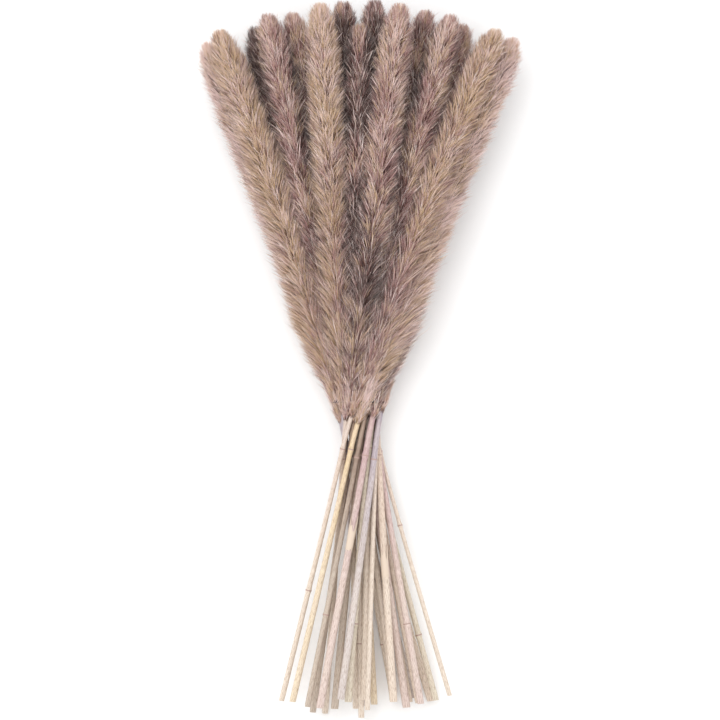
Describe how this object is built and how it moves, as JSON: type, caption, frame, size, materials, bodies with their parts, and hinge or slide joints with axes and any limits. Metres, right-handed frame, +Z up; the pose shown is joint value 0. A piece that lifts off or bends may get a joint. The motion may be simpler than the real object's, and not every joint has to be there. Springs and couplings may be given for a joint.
{
  "type": "bundle of dried reeds",
  "caption": "Bundle of dried reeds with soft feathery plumes, bound at the neck and fanning out above and below; it lies on a table.",
  "frame": {"origin": "on the table under the middle of the bundle's bounding box", "axes": "+Y along the bundle towards the plume tips, -Y towards the cut ends, +Z up from the table, +X to the right when the plumes point away from the viewer"},
  "size_m": [0.1948, 0.4444, 0.0686],
  "materials": {
    "stem": "dry, satin, faintly grooved, cream with pink and lavender tints",
    "plume_tan": "soft feathery hair, tan to cream",
    "plume_mauve": "soft feathery hair, dusty pink to mauve",
    "plume_brown": "soft feathery hair, brown",
    "band": "dark, matt elastic band"
  },
  "bodies": {
    "root": {"stem_01": "stem", "plume_01": "plume_tan", "stem_02": "stem", "plume_02": "plume_tan", "stem_03": "stem", "plume_03": "plume_mauve", "stem_04": "stem", "plume_04": "plume_tan", "stem_05": "stem", "plume_05": "plume_mauve", "stem_06": "stem", "plume_06": "plume_mauve", "stem_07": "stem", "plume_07": "plume_brown", "stem_08": "stem", "plume_08": "plume_mauve", "stem_09": "stem", "plume_09": "plume_mauve", "stem_10": "stem", "plume_10": "plume_brown", "stem_11": "stem", "plume_11": "plume_mauve", "stem_12": "stem", "plume_12": "plume_brown", "stem_13": "stem", "plume_13": "plume_brown", "stem_14": "stem", "plume_14": "plume_mauve", "stem_15": "stem", "plume_15": "plume_tan", "stem_16": "stem", "plume_16": "plume_brown", "stem_17": "stem", "plume_17": "plume_brown", "stem_18": "stem", "plume_18": "plume_mauve", "stem_19": "stem", "plume_19": "plume_brown", "stem_20": "stem", "plume_20": "plume_mauve", "stem_21": "stem", "plume_21": "plume_brown", "stem_22": "stem", "plume_22": "plume_tan", "stem_23": "stem", "plume_23": "plume_mauve", "stem_24": "stem", "plume_24": "plume_brown", "stem_25": "stem", "plume_25": "plume_mauve", "stem_26": "stem", "plume_26": "plume_tan", "tie_band": "band"}
  },
  "joints": []
}
